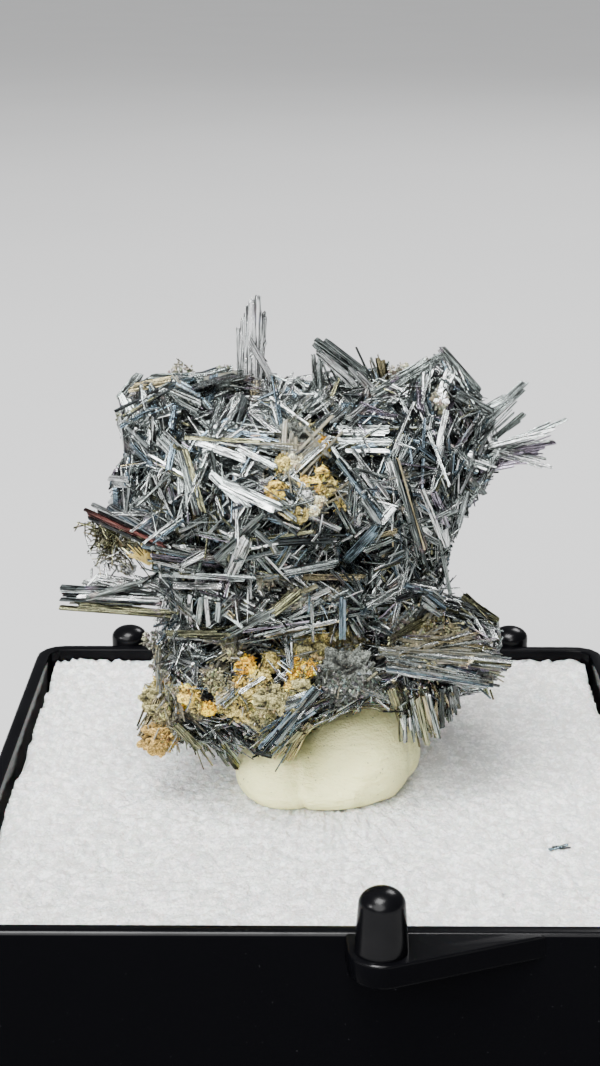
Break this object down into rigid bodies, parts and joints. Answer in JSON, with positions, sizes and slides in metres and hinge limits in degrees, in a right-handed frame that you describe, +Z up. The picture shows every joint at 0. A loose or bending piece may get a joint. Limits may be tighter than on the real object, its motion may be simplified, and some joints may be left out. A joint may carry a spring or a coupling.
{
  "type": "stibnite crystal spray",
  "caption": "Jackstraw spray of metallic stibnite blades with an ochre granular ledge, held by cream putty on the white foam pad of a small square black display box base.",
  "frame": {"origin": "centre of the flat underside of the box base", "axes": "+Z up, -Y towards the catch post at the front, +X to the right seen from the front"},
  "size_m": [0.0306, 0.0346, 0.0304],
  "materials": {
    "stibnite": "metallic steel-grey striated blades with blue and copper tarnish, dusted with ochre in the lower half",
    "cream_putty": "soft satin cream putty with finger marks and a few dark specks",
    "white_foam": "matte white expanded polystyrene with a fine crumbly grain",
    "black_plastic": "glossy black moulded polystyrene"
  },
  "bodies": {
    "root": {"stibnite_spray": "stibnite", "mineral_putty": "cream_putty", "foam_insert": "white_foam", "box_base": "black_plastic"}
  },
  "joints": []
}
